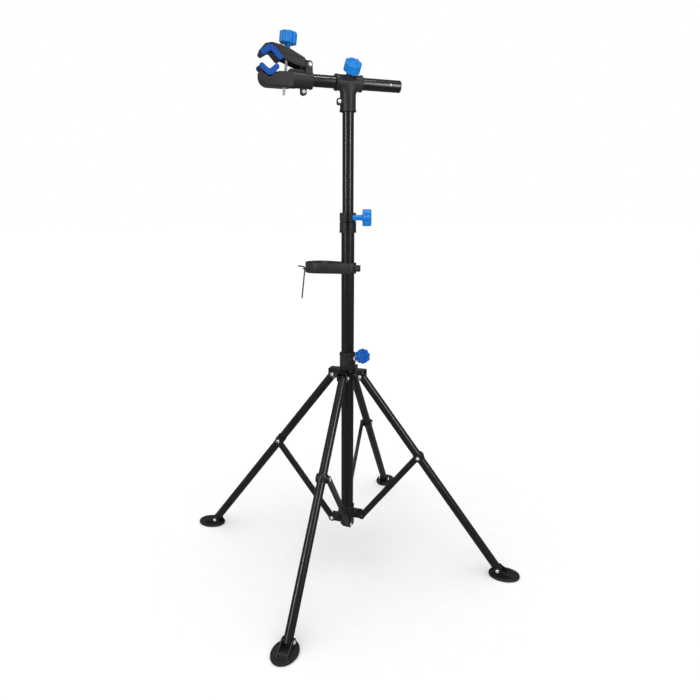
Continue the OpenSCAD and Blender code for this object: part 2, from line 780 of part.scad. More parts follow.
// upper jaw: a channel-shaped arm, open below, on a tongue at the hinge
module upper_outline() {
  back = pivot_x - jaw_back;
  polygon([
    [back, pivot_z - 10], [back, pivot_z + 15], [saddle_x + 4, saddle_z - 1],
    [saddle_x - 21, saddle_z + 6], [up_vee_x, up_vee_z + 5.5], [up_vee_x - 15, up_vee_z + 2],
    [up_vee_x - 25, up_vee_z - 9], [up_vee_x - 28, up_vee_z - 18], [up_vee_x - 16, up_vee_z - 23],
    [up_vee_x + 25, up_vee_z - 30], [saddle_x - 13, saddle_z - 27], [saddle_x + 14, saddle_z - 37]
  ]);
}

// hollow of the channel, with a solid seat left round the saddle
module upper_hollow() {
  front = saddle_x - 14;
  back = pivot_x - jaw_back - jaw_wall;
  difference() {
    polygon([[back, pivot_z - 20], [back, pivot_z + 15 - jaw_wall], [saddle_x + 4, saddle_z - 6],
      [front, saddle_z], [front, pivot_z - 20]]);
    translate([saddle_x - 20, saddle_z - 15]) square([33, 20]);
  }
}

module tongue_outline() {
  translate([pivot_x, pivot_z]) circle(r = tongue_r);
  polygon([[pivot_x - jaw_back - 1, pivot_z - 8], [pivot_x, pivot_z - tongue_r],
    [pivot_x + 3, pivot_z + tongue_r - 1], [pivot_x - jaw_back - 1, pivot_z + 16]]);
}

module upper_jaw() {
  color([0.14, 0.14, 0.15]) difference() {
    at_arm() {
      slab(jaw_w) difference() {
        upper_outline();
        translate([up_vee_x, up_vee_z]) rotate(180 - up_turn) vee_cut();
      }
      slab(tongue_w) tongue_outline();
    }
    at_arm() slab(jaw_w - 2 * jaw_wall) upper_hollow();
    at_screw() translate([0, 0, saddle_up]) {
      cross_disc(saddle_r + saddle_room, -saddle_r - 2, saddle_r + 2);
      slab(screw_d + slot_play) up_slot();
    }
    at_jaw_hinge() cross_disc(bolt_r + run, -through / 2, through / 2);
  }
}

module upper_pad() {
  color([0.05, 0.2, 0.75]) at_arm() slab(jaw_w + 2 * pad_proud)
    translate([up_vee_x, up_vee_z]) rotate(180 - up_turn)
      pad_section(pad_arm + up_pad_extra, pad_arm);
}

module jaw_nut() {
  y = nut_len / 2 - side;
  color([0.75, 0.7, 0.45]) at_screw() difference() {
    cross_disc(nut_r, -y, y);
    translate([0, 0, -through / 2]) cylinder(r = screw_r + run, h = through);
  }
}

// washer that rocks in the upper jaw under the knob
module jaw_saddle() {
  color([0.8, 0.8, 0.82]) at_screw() translate([0, 0, saddle_up]) difference() {
    sphere(r = saddle_r);
    translate([-saddle_r, -saddle_r, saddle_top]) cube(2 * saddle_r);
    translate([0, 0, -through / 2]) cylinder(r = screw_r + run, h = through);
  }
}

module jaw_screw() {
  color([0.8, 0.8, 0.82]) at_screw() translate([0, 0, -screw_tail])
    cylinder(r = screw_r,
      h = screw_tail + saddle_up + saddle_top + side + screw_stem + screw_knob_h / 2);
}

module jaw_knob() {
  color([0.0, 0.5, 0.95]) at_screw() translate([0, 0, saddle_up + saddle_top + side])
    knob(screw_knob_d, screw_knob_h, screw_stem, knob_stem_d - 1, screw_r);
}

// ---------------------------------------------------------------- tray
module at_tray() { rotate([0, 0, tray_az]) translate([0, 0, tray_z]) children(); }
module at_tray_screw() { at_tray() translate([-tray_ring_r - pinch_out, 0, tray_h / 2]) children(); }

// outline of the tray: a round dish that narrows to the clamp ring
module tray_shape(inset) {
  r0 = tray_ring_r - inset;
  r1 = tray_w / 2 - inset;
  dish_x = tray_reach - tray_w / 2;
  lean = asin((r1 - r0) / dish_x);
  circle(r = r0);
  translate([dish_x, 0]) circle(r = r1);
  polygon([
    [-r0 * sin(lean), r0 * cos(lean)], [dish_x - r1 * sin(lean), r1 * cos(lean)],
    [dish_x - r1 * sin(lean), -r1 * cos(lean)], [-r0 * sin(lean), -r0 * cos(lean)]
  ]);
}

// what is hollow in the tray: all but the ring round the column and the divider
module tray_hollow() {
  difference() {
    translate([0, 0, tray_wall]) linear_extrude(tray_h) tray_shape(tray_wall);
    cylinder(r = tray_ring_r, h = 2 * tray_h);
    translate([divider_x - divider_t / 2, -tray_w, 0])
      cube([divider_t, 2 * tray_w, tray_h - divider_drop]);
  }
}

module tray() {
  color([0.14, 0.14, 0.15]) difference() {
    union() {
      at_tray() {
        linear_extrude(tray_h) tray_shape(0);
        translate([tray_reach - tab_t, -tab_r, tab_z - tab_t]) cube([tab_len, 2 * tab_r, tab_t]);
        translate([key_x, 0, tab_z - tab_t]) cylinder(r = tab_r, h = tab_t);
      }
      at_tray_screw() translate([pinch_out - tray_ear, -ear_out, -ear_h / 2])
        cube([tray_ear + 8, 2 * ear_out, ear_h]);
    }
    at_tray() {
      tray_hollow();
      translate([0, 0, -cut]) cylinder(r = column_r + run, h = tray_h + 2 * cut);
      translate([-through, -ear_gap / 2, -cut]) cube([through, ear_gap, tray_h + 2 * cut]);
      for (y = [-hole_pitch, 0, hole_pitch])
        translate([hole_x, y, -cut]) cylinder(r = hole_r, h = tray_wall + 2 * cut);
      translate([key_x, 0, 0]) cylinder(r = key_r + 1.15, h = tab_z + cut);
    }
    at_tray_screw() cross_disc(pinch_r, -ear_out - cut, ear_out + cut);
  }
}

module tray_screw() {
  color([0.8, 0.8, 0.82]) at_tray_screw() through_bolt(pinch_r, -ear_out, ear_out);
}

// L-shaped hex key that hangs by its short arm in the eye of the tray
module hex_key() {
  color([0.2, 0.2, 0.21]) at_tray() translate([key_x, 0, tab_z + key_r + key_rise])
    rotate([0, -key_lean, 0]) {
      translate([0, 0, -key_long]) cylinder(r = key_foot_r, h = key_long - key_bend + 0.01);
      translate([0, 0, -key_long + key_bend]) cylinder(r = key_r, h = key_long - 2 * key_bend);
      translate([key_bend, 0, -key_bend]) rotate([90, 0, 180]) rotate_extrude(angle = 90)
        translate([key_bend, 0]) circle(r = key_r);
      translate([key_bend, 0, 0]) rotate([0, 90, 0]) cylinder(r = key_r, h = key_short - key_bend);
    }
}

column_tube();
column_plug();
lower_hub();
brace_pivot_bolts();
mast_collar();
collar_knob();
collar_stud();
hub_sleeve();
hub_spider();
leg_pivot_bolts();
hub_knob();
hub_stud();
leg_tube(0);  // front_leg_tube
leg_tube(1);  // right_leg_tube
leg_tube(2);  // back_leg_tube
leg_tube(3);  // left_leg_tube
leg_bracket(0);  // front_leg_bracket
leg_bracket(1);  // right_leg_bracket
leg_bracket(2);  // back_leg_bracket
leg_bracket(3);  // left_leg_bracket
brace(0);  // front_brace
brace(1);  // right_brace
brace(2);  // back_brace
brace(3);  // left_brace
joint_bolt(0);  // front_joint_bolt
joint_bolt(1);  // right_joint_bolt
joint_bolt(2);  // back_joint_bolt
joint_bolt(3);  // left_joint_bolt
foot(0);  // front_foot
foot(1);  // right_foot
foot(2);  // back_foot
foot(3);  // left_foot
foot_bolt(0);  // front_foot_bolt
foot_bolt(1);  // right_foot_bolt
foot_bolt(2);  // back_foot_bolt
foot_bolt(3);  // left_foot_bolt
mast_tube();
mast_glide();
tee();
tee_pinch_bolt();
tee_knob();
tee_stud();
arm_tube();
arm_cap();
arm_rivet();
lower_jaw();
lower_pad();
socket_pinch_bolt();
jaw_pivot_bolt();
upper_jaw();
upper_pad();
jaw_nut();
jaw_saddle();
jaw_screw();
jaw_knob();
tray();
tray_screw();
hex_key();
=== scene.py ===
"""Looks of a folding work stand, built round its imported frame, in metres."""

import json
from math import cos, pi, radians, sin, tan

import bmesh
import bpy
import numpy as np
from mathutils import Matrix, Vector


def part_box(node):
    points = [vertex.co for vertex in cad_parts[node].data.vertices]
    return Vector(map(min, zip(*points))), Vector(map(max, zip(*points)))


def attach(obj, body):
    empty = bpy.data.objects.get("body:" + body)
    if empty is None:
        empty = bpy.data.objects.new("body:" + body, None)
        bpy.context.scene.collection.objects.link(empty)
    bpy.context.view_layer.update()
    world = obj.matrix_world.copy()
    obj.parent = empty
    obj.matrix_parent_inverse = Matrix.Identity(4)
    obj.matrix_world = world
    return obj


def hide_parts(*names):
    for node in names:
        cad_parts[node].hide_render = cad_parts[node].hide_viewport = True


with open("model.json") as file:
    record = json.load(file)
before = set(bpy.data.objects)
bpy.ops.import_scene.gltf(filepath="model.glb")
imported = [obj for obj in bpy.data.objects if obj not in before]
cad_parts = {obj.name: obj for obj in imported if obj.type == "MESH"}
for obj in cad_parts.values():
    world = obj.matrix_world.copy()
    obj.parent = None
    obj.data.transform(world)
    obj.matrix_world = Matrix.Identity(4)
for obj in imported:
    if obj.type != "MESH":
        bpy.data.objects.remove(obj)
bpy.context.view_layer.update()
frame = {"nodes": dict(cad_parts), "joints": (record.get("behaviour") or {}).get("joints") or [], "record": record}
joints = {joint["name"]: joint for joint in frame["joints"]}

# ---------------------------------------------------------------- camera
# The camera stands in front of the stand and a little to the clamp's side, at the
# height of the collar, and looks slightly down.
camera_data = bpy.data.cameras.new("camera")
camera_data.lens = 30.42
camera_data.sensor_width = 36
camera = bpy.data.objects.new("camera", camera_data)
camera.location = (-0.5730, -1.6355, 1.0938)
camera.rotation_euler = (radians(90 - 13.88), radians(-0.2), radians(-19.5))
bpy.context.scene.collection.objects.link(camera)
bpy.context.scene.camera = camera


# ---------------------------------------------------------------- shader wiring
# Every finish below is a Principled shader whose colour, roughness and bump are
# worked out from noise in the object's own coordinates.
class Wire:
    """One output of a shader node. Arithmetic on it adds Math nodes to the same tree."""

    def __init__(self, tree, socket):
        self.tree, self.socket = tree, socket

    def math(self, operation, first, second):
        """A Math node of that operation on two values or wires."""
        return node(self.tree, "ShaderNodeMath", {"operation": operation}, {0: first, 1: second})

    def __add__(self, other):
        return self.math("ADD", self, other)

    def __mul__(self, other):
        return self.math("MULTIPLY", self, other)

    __radd__ = __add__
    __rmul__ = __mul__


def node(tree, kind, settings, inputs, output=0):
    """A node of that kind: its settings first, then its sockets' values or wires, as a Wire."""
    made = tree.nodes.new(kind)
    for name, value in settings.items():
        if name == "stops":
            made.color_ramp.elements[0].position = value[0]
            made.color_ramp.elements[1].position = value[1]
        else:
            setattr(made, name, value)
    for name, value in inputs.items():
        if isinstance(value, Wire):
            tree.links.new(value.socket, made.inputs[name])
        else:
            made.inputs[name].default_value = value
    return Wire(tree, made.outputs[output])


def finish(name, base, lighter, roughness, spread, grain, depth, streak=None, **fixed):
    """A painted, moulded or plated finish.

    The colour goes from base to lighter with a slow cloudy noise, the roughness wanders by
    spread round its value, and a fine noise of grain bumps per metre lifts the surface by depth.
    A streak (x, y, z) stretches the cloudy noise along an axis, as handling marks are.
    """
    material = bpy.data.materials.new(name)
    material.use_nodes = True
    tree = material.node_tree
    shader = tree.nodes["Principled BSDF"]
    place = node(tree, "ShaderNodeTexCoord", {}, {}, "Object")
    fine = node(tree, "ShaderNodeTexNoise", {}, {"Vector": place, "Scale": grain, "Detail": 3.0})
    if streak:
        drawn = node(tree, "ShaderNodeMapping", {}, {"Vector": place, "Scale": streak})
        marks = node(tree, "ShaderNodeTexNoise", {}, {"Vector": drawn, "Scale": 1.0, "Detail": 5.0})
    else:
        marks = node(tree, "ShaderNodeTexNoise", {}, {"Vector": place, "Scale": 17.0, "Detail": 4.0})
    worn = node(tree, "ShaderNodeValToRGB", {"stops": (0.42, 0.75)}, {"Fac": marks})
    colour = node(tree, "ShaderNodeMix", {"data_type": "RGBA"},
                  {0: worn * 0.8 + fine * 0.2, 6: (*base, 1.0), 7: (*lighter, 1.0)}, 2)
    bump = node(tree, "ShaderNodeBump", {}, {"Height": fine, "Strength": 0.6, "Distance": depth})
    tree.links.new(colour.socket, shader.inputs["Base Color"])
    rough = marks * (2 * spread) + (roughness - spread) + fine * (spread / 2)
    tree.links.new(rough.socket, shader.inputs["Roughness"])
    tree.links.new(bump.socket, shader.inputs["Normal"])
    for socket, value in fixed.items():
        shader.inputs[socket.replace("_", " ")].default_value = value
    return material


# ---------------------------------------------------------------- studio
# A plain pale floor and surround under a wide soft sky. Tall strip lights left and right of
# the camera draw the bright lines down the tubes, and one above draws those on the legs.
floor_mesh = bpy.data.meshes.new("floor")
reach = 30.0
floor_mesh.from_pydata([(-reach, -reach, 0), (reach, -reach, 0), (reach, reach, 0), (-reach, reach, 0)],
                       [], [(0, 1, 2, 3)])
floor = bpy.data.objects.new("floor", floor_mesh)
floor.data.materials.append(finish("pale_floor", (0.86, 0.86, 0.86), (0.88, 0.88, 0.88), 0.6, 0.03, 60.0,
                                   0.0001, Specular_IOR_Level=0.0))
bpy.context.scene.collection.objects.link(floor)
floor.visible_glossy = False

bpy.context.scene.view_settings.view_transform = "Standard"
world = bpy.data.worlds.new("surround")
world.use_nodes = True
background = world.node_tree.nodes["Background"]
background.inputs["Color"].default_value = (1.0, 1.0, 1.0, 1.0)
seen = node(world.node_tree, "ShaderNodeLightPath", {}, {}, "Is Camera Ray")
world.node_tree.links.new((seen * 0.8 + 0.2).socket, background.inputs["Strength"])
bpy.context.scene.world = world


def strip_light(name, place, target, width, height, watts):
    """A soft rectangular light at place that faces target, seen only in reflections."""
    data = bpy.data.lights.new(name, "AREA")
    data.shape = "RECTANGLE"
    data.size, data.size_y, data.energy = width, height, watts
    light = bpy.data.objects.new(name, data)
    light.location = place
    light.rotation_euler = (Vector(target) - Vector(place)).to_track_quat("-Z", "Y").to_euler()
    light.visible_diffuse = False
    bpy.context.scene.collection.objects.link(light)


def round_the_stand(turn, distance, height):
    """A place at that turn, in degrees, from the camera's side of the stand."""
    side = radians(-109.5 + turn)
    return (distance * cos(side), distance * sin(side), height)


for side in (-47, 47):
    strip_light("high_strip", round_the_stand(side, 2.2, 1.75), (0, 0, 1.75), 0.28, 1.3, 20)
    strip_light("low_strip", round_the_stand(side, 2.2, 0.92), (0, 0, 0.92), 0.28, 0.34, 1.2)
strip_light("top_strip", round_the_stand(20, 0.9, 3.4), (0, 0, 0.4), 1.6, 0.3, 34)
dome_data = bpy.data.lights.new("dome", "SUN")
dome_data.energy, dome_data.angle = 3.2, radians(120)
dome = bpy.data.objects.new("dome", dome_data)
dome.visible_glossy = False
dome.rotation_euler = (radians(12), radians(-8), 0)
bpy.context.scene.collection.objects.link(dome)

# ---------------------------------------------------------------- tubes
# Column, mast, arm and legs are welded steel tube in a gloss black powder coat, with a
# faint orange peel and long handling marks. Their frame shapes are the real ones.
tube_black = finish("black_tube", (0.0075, 0.006, 0.007), (0.012, 0.0105, 0.0115), 0.24, 0.03,
                    90.0, 0.000001, (30.0, 30.0, 2.0))
LEGS = ("front", "right", "back", "left")
for name in ["column_tube", "mast_tube", "arm_tube"] + [leg + "_leg_tube" for leg in LEGS]:
    tube = frame["nodes"][name]
    tube.data.materials.clear()
    tube.data.materials.append(tube_black)


# ---------------------------------------------------------------- plug and lower hub
# A moulded plug closes the foot of the column. The lower hub is a pressed steel sleeve with
# four channels for the braces; each channel holds a button-headed bolt.
def skin(rings, loop=False):
    """A shell through a stack of closed rings, shaped (rings, points, 3), in millimetres.

    Each ring joins the next by quads. The end rings are closed by flat faces, or, with loop,
    the last ring joins the first, as round a hollow section.
    """
    count, points = rings.shape[:2]
    first = np.arange(count if loop else count - 1)[:, None] * points
    along = np.arange(points)[None, :]
    beside = (along + 1) % points
    after = (first + points) % (count * points)
    quads = np.stack([first + along, first + beside, after + beside, after + along], -1)
    faces = quads.reshape(-1, 4).tolist()
    if not loop:
        faces.append(list(range(points))[::-1])
        faces.append(list(range((count - 1) * points, count * points)))
    return rings.reshape(-1, 3), faces


def turned(rows, shape=None, loop=False, points=64):
    """A shell turned about z from rows (z, radius, weight).

    A ring's radius is its row's, times 1 at weight 0 and the shape's factor at weight 1, so a
    round stem can grow into a hexagon or a lobed head.
    """
    rows = np.array([(row[0], row[1], row[2] if len(row) > 2 else 0) for row in rows], float)
    angle = np.linspace(0, 2 * pi, points, endpoint=False)
    factor = shape(angle) if shape else np.ones(points)
    radius = rows[:, 1:2] * (1 - rows[:, 2:3] * (1 - factor[None, :]))
    height = np.broadcast_to(rows[:, 0:1], radius.shape)
    return skin(np.stack([radius * np.cos(angle), radius * np.sin(angle), height], -1), loop)


def hexagon(angle):
    """Radius of a hexagon against the circle through its corners."""
    return cos(pi / 6) / np.cos((angle % (pi / 3)) - pi / 6)


UPRIGHT = ((1, 0, 0), (0, 1, 0), (0, 0, 1))


def placed(shell, origin, x, y, z):
    """A shell in millimetres carried to the origin, in metres, along three axes."""
    points, faces = shell
    return np.asarray(origin) + (points * 0.001) @ np.array([x, y, z], float), faces


def along(axis, up=(0, 0, 1)):
    """Three square axes whose last is the one given."""
    z = np.array(axis, float) / np.linalg.norm(axis)
    x = np.cross(up, z)
    if np.linalg.norm(x) < 0.01:
        x = np.cross((1, 0, 0), z)
    x = x / np.linalg.norm(x)
    return x, np.cross(z, x), z


def make(name, nodes, finish_used, shells, edge=None):
    """One piece from closed shells: merged, facing outwards, smooth but for its real corners.

    It stands for the nodes named, rides on their body and may get a rounded edge.
    """
    mesh = bpy.data.meshes.new(name)
    points = np.concatenate([shell[0] for shell in shells])
    starts = np.cumsum([0] + [len(shell[0]) for shell in shells])
    faces = [[corner + start for corner in face]
             for shell, start in zip(shells, starts) for face in shell[1]]
    mesh.from_pydata(points.tolist(), [], faces)
    work = bmesh.new()
    work.from_mesh(mesh)
    bmesh.ops.remove_doubles(work, verts=work.verts, dist=0.000002)
    bmesh.ops.recalc_face_normals(work, faces=work.faces)
    work.to_mesh(mesh)
    work.free()
    return settle(bpy.data.objects.new(name, mesh), nodes, finish_used, edge)


def settle(piece, nodes, finish_used, edge=None):
    """Links a piece, gives it its finish and edge, and ties it to the body of its nodes."""
    bpy.context.scene.collection.objects.link(piece)
    piece.data.materials.clear()
    piece.data.materials.append(finish_used)
    piece.data.shade_smooth()
    if edge:
        bevel = piece.modifiers.new("edge", "BEVEL")
        bevel.width, bevel.segments = edge, 2
        bevel.limit_method, bevel.angle_limit = "ANGLE", radians(32)
        bevel.harden_normals = True
    else:
        piece.data.set_sharp_from_angle(angle=radians(38))
        weights = piece.modifiers.new("flat_faces", "WEIGHTED_NORMAL")
        weights.keep_sharp, weights.weight = True, 80
    bodies = frame["record"]["behaviour"]["bodies"]
    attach(piece, next(body for body, members in bodies.items() if nodes[0] in members))
    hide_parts(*nodes)
    return piece


def softened(name, finish_used, edge):
    """A copy of a pressed or moulded node, its triangles merged into faces, with rounded edges."""
    mesh = frame["nodes"][name].data.copy()
    work = bmesh.new()
    work.from_mesh(mesh)
    bmesh.ops.remove_doubles(work, verts=work.verts, dist=0.00001)
    bmesh.ops.dissolve_limit(work, angle_limit=radians(0.6), verts=work.verts, edges=work.edges)
    work.to_mesh(mesh)
    work.free()
    return settle(bpy.data.objects.new(name + "_made", mesh), [name], finish_used, edge)


plastic_black = finish("black_plastic", (0.010, 0.010, 0.011), (0.02, 0.02, 0.022), 0.44, 0.07, 900.0,
                       0.00004)
bracket_black = finish("black_bracket", (0.008, 0.0075, 0.0075), (0.016, 0.015, 0.014), 0.3, 0.08, 520.0,
                       0.00003)
zinc = finish("zinc", (0.78, 0.78, 0.79), (0.92, 0.92, 0.93), 0.26, 0.07, 1500.0, 0.00001, Metallic=0.35)

plug_lo, plug_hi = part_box("column_plug")
plug_r = (plug_hi.x - plug_lo.x) * 500
plug_rows = [(0, 0.3), (0, plug_r - 9), (0.8, plug_r - 8), (0.8, plug_r - 2), (0, plug_r - 1.4),
             (0.4, plug_r - 0.4), (1.2, plug_r), (3, plug_r), (3, plug_r - 2),
             (16, plug_r - 2), (17, plug_r - 3), (17, 0.3)]
make("column_plug_made", ["column_plug"], plastic_black,
     [placed(turned(plug_rows), (0, 0, plug_lo.z), *UPRIGHT)])
softened("lower_hub", bracket_black, 0.0006)


def button_bolt(origin, axis, tail, head, radius):
    """Two shells along an axis through origin, in mm: the bolt from tail to head, and its nut.

    The head is a low dome with a hexagon socket. The nut, chamfered and with a plastic collar,
    sits at the tail, and the shank ends just past it.
    """
    rim = radius + 2.2
    dome = np.linspace(0, pi / 2.6, 7)
    rows = [(tail, 0.2), (tail, radius), (head, radius), (head, rim - 0.3), (head + 0.3, rim),
            (head + 0.9, rim)]
    rows += [(head + 0.9 + 2.4 * sin(t), rim * (0.5 + 0.5 * cos(t))) for t in dome[1:]]
    top, flat = rows[-1][0], rows[-1][1]
    rows += [(top + 0.05, flat - 0.4), (top, radius * 0.62, 1), (top - 1.7, radius * 0.6, 1),
             (top - 1.9, 0.15)]
    nut = [(tail + 0.2, radius), (tail, rim * 0.86), (tail - 0.5, rim * 1.02, 1),
           (tail - 2.5, rim * 1.02, 1), (tail - 2.9, rim * 0.86), (tail - 3.3, rim * 0.76),
           (tail - 3.5, radius + 0.4), (tail - 3.4, radius), (tail - 3.8, radius),
           (tail - 4.0, radius - 0.4), (tail - 4.0, 0.2)]
    axes = along(axis)
    return [placed(turned(rows, hexagon, points=48), origin, *axes),
            placed(turned(nut, hexagon, points=48), origin, *axes)]


def leg_axes(leg):
    """Outward, sideways and upward axes of a leg."""
    side = np.array(joints[leg + "_leg_hinge"]["axis"], float)
    return np.cross(side, (0, 0, 1)), side, np.array((0.0, 0.0, 1.0))


def reach_along(name, origin, axis):
    """Lowest and highest distance of a node along an axis from origin, in millimetres."""
    mesh = frame["nodes"][name].data
    points = np.empty(len(mesh.vertices) * 3)
    mesh.vertices.foreach_get("co", points)
    span = (points.reshape(-1, 3) - np.asarray(origin)) @ np.asarray(axis) * 1000
    return span.min(), span.max()


BOLT_R, BOLT_HEAD = 3.0, 3.4
leg_r, bracket_slip, bracket_t, brace_gap, brace_t, plate_t = 12.5, 0.2, 2.4, 0.4, 8.0, 2.0
brace_in = leg_r + bracket_slip + bracket_t + brace_gap
shank_end = brace_in - brace_gap - plate_t + 4.1
channel_out = brace_in + brace_t + brace_gap + plate_t
shells = []
for leg in LEGS:
    shells += button_bolt(joints[leg + "_brace_hinge"]["pos_m"], leg_axes(leg)[1], shank_end,
                          channel_out, BOLT_R)[:1]
make("brace_pivot_bolts_made", ["brace_pivot_bolts"], zinc, shells)

# ---------------------------------------------------------------- sliding hub
# A moulded sleeve slides on the column and carries a pressed steel spider with a channel
# for each leg. A blue knob clamps it through a boss with a zinc insert.
charcoal = finish("charcoal_plastic", (0.018, 0.0175, 0.02), (0.036, 0.035, 0.04), 0.42, 0.08,
                  800.0, 0.00006, Specular_IOR_Level=0.3)


def rounded_bar(low, high, outer, inner, edge):
    """Rows of a hollow turned bar with rounded rims: up the outside and down the bore."""
    turn = np.linspace(0, pi / 2, 5)
    rows = [(low + edge * (1 - sin(t)), outer - edge * (1 - cos(t))) for t in turn[::-1]]
    rows += [(high - edge * (1 - sin(t)), outer - edge * (1 - cos(t))) for t in turn]
    return rows + [(high, inner + 0.8), (high - 0.8, inner), (low + 0.8, inner), (low, inner + 0.8)]


sleeve_lo, sleeve_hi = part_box("hub_sleeve")
column_lo, column_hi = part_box("column_tube")
column_r = (column_hi.x - column_lo.x) * 500
knob_at, knob_axis = joints["hub_knob_spin"]["pos_m"], joints["hub_knob_spin"]["axis"]
sleeve_h = (sleeve_hi.z - sleeve_lo.z) * 1000
sleeve_r = column_r + 4.7
bead_r = sleeve_r + 0.9
sleeve_rows = rounded_bar(0, sleeve_h, sleeve_r, column_r + 0.15, 1.6)
sleeve_rows[5:5] = [(sleeve_h - 7.6, sleeve_r), (sleeve_h - 7.2, bead_r), (sleeve_h - 2.2, bead_r)]
boss_rows = [(-2, 4.2), (-2, 12.5), (6.5, 11.2), (7.5, 9.6), (17.5, 9.0), (19.2, 8.2), (20, 6.8),
             (20, 4.2)]
make("hub_sleeve_made", ["hub_sleeve"], charcoal,
     [placed(turned(sleeve_rows, loop=True, points=96), (0, 0, sleeve_lo.z), *UPRIGHT),
      placed(turned(boss_rows, loop=True), knob_at, *along(knob_axis))])
softened("hub_spider", bracket_black, 0.0007)
hub_channel_half = 15.6
shells = []
for leg in LEGS:
    shells += button_bolt(joints[leg + "_leg_hinge"]["pos_m"], leg_axes(leg)[1], -hub_channel_half,
                          hub_channel_half, BOLT_R)
make("leg_pivot_bolts_made", ["leg_pivot_bolts"], zinc, shells)


def lobed(angle):
    """Radius of an eight-lobed knob: round lobes between narrow valleys."""
    lobe = (np.cos(4 * angle) ** 2 + 0.03) ** 0.3
    return 1 - 0.22 * (1 - lobe / lobe.max())


def knob(head_d, head_h, stem_d, start, top):
    """Shell of a moulded hand knob from start to top: a round stem that swells into a lobed head.

    The head's rim is rounded above and below, and its face has a shallow dish with a
    raised middle. The lobes fade out towards the stem and the dish.
    """
    full, stem, rim = head_d / 2, stem_d / 2, 2.8
    turn = np.linspace(0, pi / 2, 7)
    head_at = top - head_h
    rows = [(start, 0.3), (start, stem - 0.8), (start + 0.8, stem), (head_at - 4, stem)]
    rows += [(head_at - 4 + 4 * sin(t), stem + 4 * (1 - cos(t))) for t in turn[1:]]
    rows += [(head_at, radius) for radius in np.linspace(stem + 5, full - rim - 1, 4)]
    rows += [(head_at + rim * (1 - cos(t)), full - rim * (1 - sin(t))) for t in turn]
    rows += [(height, full) for height in np.linspace(head_at + rim, top - rim, 6)[1:-1]]
    rows += [(top - rim * (1 - sin(t)), full - rim * (1 - cos(t))) for t in turn]
    rows += [(top, full * 0.66), (top - 0.4, full * 0.62), (top - 1.8, full * 0.57),
             (top - 2.1, full * 0.5), (top - 2.1, full * 0.36), (top - 1.7, full * 0.33),
             (top - 0.6, full * 0.3), (top - 0.3, full * 0.26), (top - 0.2, 0.3)]
    weight = [(row[0], row[1], np.clip((row[1] / full - 0.45) / 0.35, 0, 1)) for row in rows]
    return turned(weight, lobed, points=192)


def screw(radius, pitch, low, high, per_turn=6, points=24):
    """Shell of a threaded rod along z: its radius dips once a pitch, and the dip winds round.

    Both ends taper to a small chamfer.
    """
    count = int((high - low) / pitch * per_turn) + 1
    z = np.linspace(low, high, count)[:, None]
    angle = np.linspace(0, 2 * pi, points, endpoint=False)[None, :]
    flank = np.abs(((z / pitch - angle / (2 * pi)) % 1) * 2 - 1)
    end = np.clip(np.minimum(z - low, high - z) / 0.8, 0, 1)
    r = radius - 0.55 * pitch * flank ** 1.2 - 0.8 * (1 - end)
    return skin(np.stack([r * np.cos(angle), r * np.sin(angle), z + 0 * angle], -1))


# The hub knob is the same blue moulding as the other knobs; this darker copy of its blue is painted shade, for the
# shade it sits in low on the column.
blue_painted_shade = finish("dark_blue_knob", (0.0, 0.09, 0.44), (0.0, 0.13, 0.55), 0.3, 0.05, 600.0, 0.00003,
                   Specular_IOR_Level=0.3)
boss_depth = 5.6
low, high = reach_along("hub_knob", knob_at, knob_axis)
make("hub_knob_made", ["hub_knob"], blue_painted_shade,
     [placed(knob(43, 20, 13, low + boss_depth, high), knob_at, *along(knob_axis))])
low, high = reach_along("hub_stud", knob_at, knob_axis)
STUD_R, STUD_PITCH = 4.0, 1.25
insert_rows = [(20.1, 4.1), (20.1, 7.6, 1), (20.6, 8.0, 1), (24.9, 8.0, 1), (25.4, 7.6, 1), (25.4, 4.1)]
make("hub_stud_made", ["hub_stud"], zinc,
     [placed(screw(STUD_R, STUD_PITCH, low, high), knob_at, *along(knob_axis)),
      placed(turned(insert_rows, hexagon, loop=True, points=48), knob_at, *along(knob_axis))])

# ---------------------------------------------------------------- legs, brackets and braces
# Half-way down each leg a pressed saddle wraps the tube, and a flat steel brace is bolted
# to it. One head shows on the outside of the saddle and another on the far side of the brace.
for leg in LEGS:
    softened(leg + "_leg_bracket", bracket_black, 0.0005)
    softened(leg + "_brace", bracket_black, 0.0011)
    side = leg_axes(leg)[1]
    hinge = np.array(joints[leg + "_leg_hinge"]["pos_m"])
    bolt_lo, bolt_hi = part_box(leg + "_joint_bolt")
    middle = np.array((bolt_lo + bolt_hi) / 2)
    middle = middle - side * ((middle - hinge) @ side)
    low, high = reach_along(leg + "_joint_bolt", hinge, side)
    make(leg + "_joint_bolt_made", [leg + "_joint_bolt"], zinc,
         [button_bolt(middle, -side, -high, -low - BOLT_HEAD, BOLT_R)[0]])
    brace_out = reach_along(leg + "_brace", hinge, side)[1]
    make(leg + "_brace_rivet", [leg + "_brace"], zinc,
         [button_bolt(middle, side, brace_out - 6, brace_out - 3.3, BOLT_R + 0.3)[0]])


# ---------------------------------------------------------------- feet
# Each foot is an oval moulded shoe with a rolled rim and two upright cheeks that take the
# foot bolt. Its sole has a ring groove round a shallow recess.
def oval(long_half, wide_half, centre, rows, points=96):
    """A shell of oval rings from rows (inset, z): each ring is the outline pulled in by its inset."""
    rows = np.array(rows, float)
    angle = np.linspace(0, 2 * pi, points, endpoint=False)[None, :]
    x = centre + (long_half - rows[:, :1]) * np.cos(angle)
    y = (wide_half - rows[:, :1]) * np.sin(angle)
    return skin(np.stack([x, y, np.broadcast_to(rows[:, 1:], x.shape)], -1))


